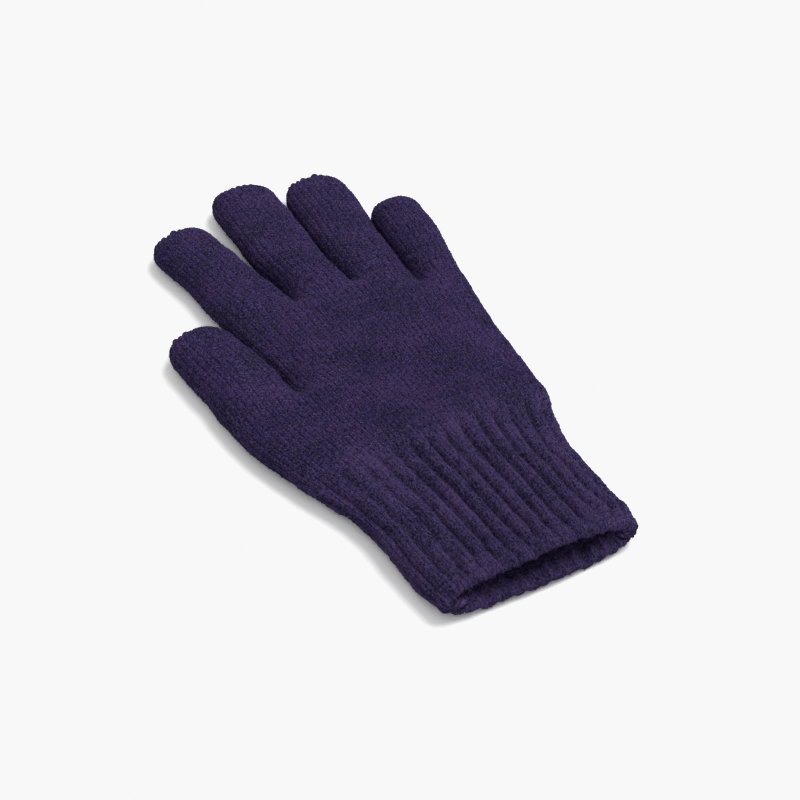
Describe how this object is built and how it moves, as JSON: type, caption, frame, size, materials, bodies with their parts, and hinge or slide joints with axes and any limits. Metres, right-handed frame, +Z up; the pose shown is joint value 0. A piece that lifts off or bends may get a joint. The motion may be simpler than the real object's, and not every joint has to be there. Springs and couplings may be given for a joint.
{
  "type": "knitted five-finger glove",
  "caption": "Knitted five-finger glove lying flat, with a long ribbed cuff, a rolled open mouth, closed fingertips and bending fingers, thumb and wrist.",
  "frame": {"origin": "centre of the footprint, on the surface that the glove lies on", "axes": "+Y from the cuff to the fingertips, +X to the little finger, +Z up out of the palm; the thumb is at -X"},
  "size_m": [0.1246, 0.2387, 0.0145],
  "materials": {
    "knit": "fine stockinette knit in fuzzy dark purple-navy yarn",
    "rib": "1x1 rib knit in the same yarn",
    "welt": "thick rolled knitted edge, fuzzy",
    "yarn": "loops and knots of the same yarn",
    "elastic": "yarn-covered elastic thread"
  },
  "bodies": {
    "hand": {"lower_palm": "knit", "upper_palm": "knit", "thumb_crotch_knot": "yarn", "index_crotch_knot": "yarn", "middle_crotch_knot": "yarn", "ring_crotch_knot": "yarn"},
    "cuff": {"rib_cuff": "rib", "cuff_welt": "welt", "cuff_elastic_1": "elastic", "cuff_elastic_2": "elastic", "cuff_elastic_3": "elastic"},
    "thumb": {"thumb_base": "knit"},
    "thumb_end": {"thumb_tip": "knit", "thumb_tip_seam": "yarn"},
    "index": {"index_base": "knit"},
    "index_end": {"index_tip": "knit", "index_tip_seam": "yarn"},
    "middle": {"middle_base": "knit"},
    "middle_end": {"middle_tip": "knit", "middle_tip_seam": "yarn"},
    "ring": {"ring_base": "knit"},
    "ring_end": {"ring_tip": "knit", "ring_tip_seam": "yarn"},
    "little": {"little_base": "knit"},
    "little_end": {"little_tip": "knit", "little_tip_seam": "yarn"}
  },
  "joints": [
    {"name": "wrist_fold", "type": "hinge", "parent": "hand", "child": "cuff", "pos_m": [0.00205, -0.0457, 0.0065], "axis": [-1, 0, 0], "range_deg": [0, 55]},
    {"name": "thumb_knuckle", "type": "hinge", "parent": "hand", "child": "thumb", "pos_m": [-0.04475, 0.0073, 0.0055], "axis": [1, 0, 0], "range_deg": [0, 75]},
    {"name": "thumb_middle_joint", "type": "hinge", "parent": "thumb", "child": "thumb_end", "pos_m": [-0.04767, 0.0253, 0.0055], "axis": [1, 0, 0], "range_deg": [0, 80]},
    {"name": "index_knuckle", "type": "hinge", "parent": "hand", "child": "index", "pos_m": [-0.02395, 0.0513, 0.0055], "axis": [1, 0, 0], "range_deg": [0, 75]},
    {"name": "index_middle_joint", "type": "hinge", "parent": "index", "child": "index_end", "pos_m": [-0.02915, 0.0773, 0.0055], "axis": [1, 0, 0], "range_deg": [0, 80]},
    {"name": "middle_knuckle", "type": "hinge", "parent": "hand", "child": "middle", "pos_m": [0.00335, 0.0513, 0.0055], "axis": [1, 0, 0], "range_deg": [0, 75]},
    {"name": "middle_middle_joint", "type": "hinge", "parent": "middle", "child": "middle_end", "pos_m": [0.00018, 0.0833, 0.0055], "axis": [1, 0, 0], "range_deg": [0, 80]},
    {"name": "ring_knuckle", "type": "hinge", "parent": "hand", "child": "ring", "pos_m": [0.02745, 0.0513, 0.0055], "axis": [1, 0, 0], "range_deg": [0, 75]},
    {"name": "ring_middle_joint", "type": "hinge", "parent": "ring", "child": "ring_end", "pos_m": [0.0277, 0.0803, 0.0055], "axis": [1, 0, 0], "range_deg": [0, 80]},
    {"name": "little_knuckle", "type": "hinge", "parent": "hand", "child": "little", "pos_m": [0.049, 0.0403, 0.0055], "axis": [1, 0, 0], "range_deg": [0, 75]},
    {"name": "little_middle_joint", "type": "hinge", "parent": "little", "child": "little_end", "pos_m": [0.05107, 0.0613, 0.0055], "axis": [1, 0, 0], "range_deg": [0, 80]}
  ]
}
